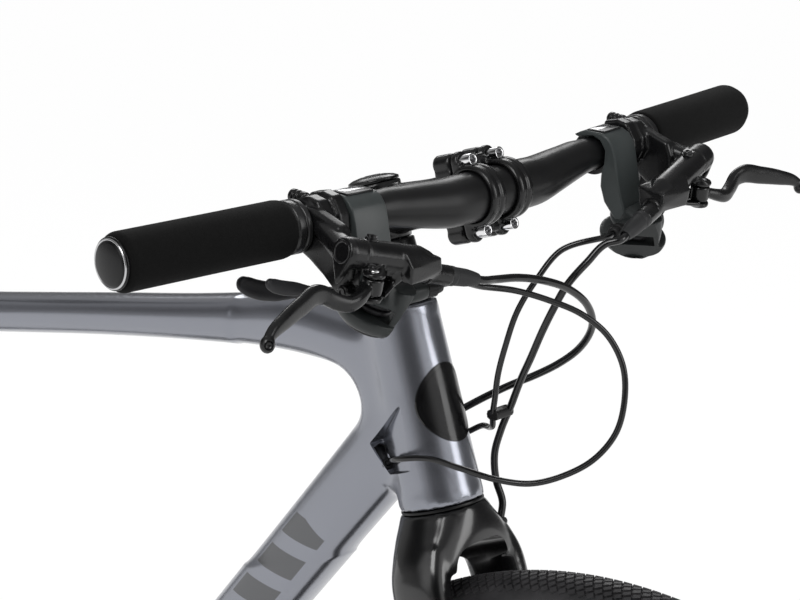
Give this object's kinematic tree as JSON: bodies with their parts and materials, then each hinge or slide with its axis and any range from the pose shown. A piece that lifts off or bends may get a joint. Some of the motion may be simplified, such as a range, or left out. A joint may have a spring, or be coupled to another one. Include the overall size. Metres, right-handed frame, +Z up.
{
  "type": "road bike",
  "caption": "Flat bar road bike with hydraulic disc brakes, cables led into the frame, a rigid fork and a metallic grey frame.",
  "frame": {"origin": "on the ground, midway between the two axles, in the middle plane", "axes": "+X forwards, +Y to the rider's left, +Z up"},
  "size_m": [1.704, 0.6018, 0.9936],
  "materials": {
    "frame_paint": "metallic grey paint under a gloss clear coat",
    "fork_paint": "gloss black paint",
    "satin_alloy": "satin black anodised",
    "brake_black": "semi-gloss black",
    "shifter_plastic": "dark grey with a fine grain",
    "grip_foam": "matte black foam",
    "tyre_rubber": "matte dark grey",
    "chrome_bolt": "polished",
    "plain_steel": "brushed",
    "black_plastic": "matte black",
    "saddle_cover": "smooth black cover",
    "cable_housing": "smooth black"
  },
  "bodies": {
    "frame": {"frame": "frame_paint", "bottom_bracket": "plain_steel", "headset_lower_bearing": "plain_steel", "headset_upper_cover": "satin_alloy", "seatpost": "satin_alloy", "seat_collar": "satin_alloy", "saddle_rails": "plain_steel", "saddle": "saddle_cover", "rear_thru_axle": "satin_alloy", "rear_caliper": "brake_black", "rear_derailleur": "black_plastic", "front_derailleur": "plain_steel", "chain": "plain_steel", "rear_brake_hose": "cable_housing", "rear_shift_cable": "cable_housing", "front_shift_cable": "cable_housing"},
    "steering": {"fork": "fork_paint", "stem": "satin_alloy", "stem_faceplate": "satin_alloy", "faceplate_bolt_upper_right": "chrome_bolt", "faceplate_bolt_upper_left": "chrome_bolt", "faceplate_bolt_lower_right": "chrome_bolt", "faceplate_bolt_lower_left": "chrome_bolt", "stem_top_cap": "satin_alloy", "handlebar": "satin_alloy", "grip_right": "grip_foam", "grip_left": "grip_foam", "bar_plug_right": "satin_alloy", "bar_plug_left": "satin_alloy", "brake_body_right": "brake_black", "brake_body_left": "brake_black", "shifter_right": "shifter_plastic", "shifter_left": "shifter_plastic", "front_caliper": "brake_black", "front_thru_axle": "satin_alloy", "front_brake_hose": "cable_housing"},
    "front_wheel": {"front_tyre": "tyre_rubber", "front_rim": "satin_alloy", "front_hub": "plain_steel", "front_rotor": "plain_steel"},
    "rear_wheel": {"rear_tyre": "tyre_rubber", "rear_rim": "satin_alloy", "rear_hub": "plain_steel", "rear_rotor": "plain_steel"},
    "cassette": {"cassette": "plain_steel"},
    "crankset": {"crank_right": "satin_alloy", "crank_left": "satin_alloy", "large_chainring": "plain_steel", "small_chainring": "plain_steel"},
    "pedal_right": {"pedal_right": "black_plastic"},
    "pedal_left": {"pedal_left": "black_plastic"},
    "derailleur_cage": {"derailleur_cage": "plain_steel"},
    "guide_pulley": {"guide_pulley": "black_plastic"},
    "tension_pulley": {"tension_pulley": "black_plastic"},
    "brake_lever_right": {"brake_lever_right": "brake_black"},
    "brake_lever_left": {"brake_lever_left": "brake_black"},
    "shift_lever_right": {"shift_lever_right": "shifter_plastic"},
    "shift_lever_left": {"shift_lever_left": "shifter_plastic"},
    "release_lever_right": {"release_lever_right": "shifter_plastic"},
    "release_lever_left": {"release_lever_left": "shifter_plastic"}
  },
  "joints": [
    {"name": "steering", "type": "hinge", "parent": "frame", "child": "steering", "pos_m": [0.30456, 0, 0.83514], "axis": [-0.2972, 0, 0.9548], "range_deg": [-60, 60], "deforming": ["rear_brake_hose", "rear_shift_cable", "front_shift_cable"]},
    {"name": "front_wheel_spin", "type": "hinge", "parent": "steering", "child": "front_wheel", "pos_m": [0.506, 0, 0.346], "axis": [0, 1, 0], "continuous": true},
    {"name": "rear_wheel_spin", "type": "hinge", "parent": "frame", "child": "rear_wheel", "pos_m": [-0.506, 0, 0.346], "axis": [0, 1, 0], "continuous": true, "deforming": ["chain"]},
    {"name": "cassette_spin", "type": "hinge", "parent": "frame", "child": "cassette", "pos_m": [-0.506, 0, 0.346], "axis": [0, 1, 0], "continuous": true},
    {"name": "crank_spin", "type": "hinge", "parent": "frame", "child": "crankset", "pos_m": [-0.08174, 0, 0.276], "axis": [0, 1, 0], "continuous": true},
    {"name": "pedal_right_spin", "type": "hinge", "parent": "crankset", "child": "pedal_right", "pos_m": [0.09076, -0.1376, 0.276], "axis": [0, 1, 0], "continuous": true},
    {"name": "pedal_left_spin", "type": "hinge", "parent": "crankset", "child": "pedal_left", "pos_m": [-0.25424, 0.1376, 0.276], "axis": [0, 1, 0], "continuous": true},
    {"name": "cage_swing", "type": "hinge", "parent": "frame", "child": "derailleur_cage", "pos_m": [-0.5, -0.046, 0.284], "axis": [0, 1, 0], "range_deg": [-10, 25], "stiffness_Nm_per_rad": 0.6},
    {"name": "guide_pulley_spin", "type": "hinge", "parent": "derailleur_cage", "child": "guide_pulley", "pos_m": [-0.5, -0.046, 0.284], "axis": [0, 1, 0], "continuous": true},
    {"name": "tension_pulley_spin", "type": "hinge", "parent": "derailleur_cage", "child": "tension_pulley", "pos_m": [-0.472, -0.046, 0.234], "axis": [0, 1, 0], "continuous": true},
    {"name": "brake_lever_right", "type": "hinge", "parent": "steering", "child": "brake_lever_right", "pos_m": [0.42357, -0.1614, 0.90231], "axis": [0.1609, 0.0503, 0.9857], "range_deg": [-17, 0], "stiffness_Nm_per_rad": 0.6, "springref_deg": 5},
    {"name": "shift_lever_right", "type": "hinge", "parent": "steering", "child": "shift_lever_right", "pos_m": [0.39477, -0.129, 0.87531], "axis": [0.339, 0.1595, 0.9272], "range_deg": [0, 22], "stiffness_Nm_per_rad": 0.3, "springref_deg": -5},
    {"name": "release_lever_right", "type": "hinge", "parent": "steering", "child": "release_lever_right", "pos_m": [0.39477, -0.129, 0.87531], "axis": [0.339, 0.1595, 0.9272], "range_deg": [0, 10], "stiffness_Nm_per_rad": 0.2, "springref_deg": -5},
    {"name": "brake_lever_left", "type": "hinge", "parent": "steering", "child": "brake_lever_left", "pos_m": [0.42357, 0.1614, 0.90231], "axis": [0.1609, -0.0503, 0.9857], "range_deg": [0, 17], "stiffness_Nm_per_rad": 0.6, "springref_deg": -5},
    {"name": "shift_lever_left", "type": "hinge", "parent": "steering", "child": "shift_lever_left", "pos_m": [0.39477, 0.129, 0.87531], "axis": [0.339, -0.1595, 0.9272], "range_deg": [-22, 0], "stiffness_Nm_per_rad": 0.3, "springref_deg": 5},
    {"name": "release_lever_left", "type": "hinge", "parent": "steering", "child": "release_lever_left", "pos_m": [0.39477, 0.129, 0.87531], "axis": [0.339, -0.1595, 0.9272], "range_deg": [-10, 0], "stiffness_Nm_per_rad": 0.2, "springref_deg": 5}
  ],
  "couplings": [
    {"joint": "crank_spin", "follows": "rear_wheel_spin", "ratio": 0.33333},
    {"joint": "cassette_spin", "follows": "rear_wheel_spin", "ratio": 1},
    {"joint": "guide_pulley_spin", "follows": "rear_wheel_spin", "ratio": -1.4545},
    {"joint": "tension_pulley_spin", "follows": "rear_wheel_spin", "ratio": 1.4545}
  ]
}
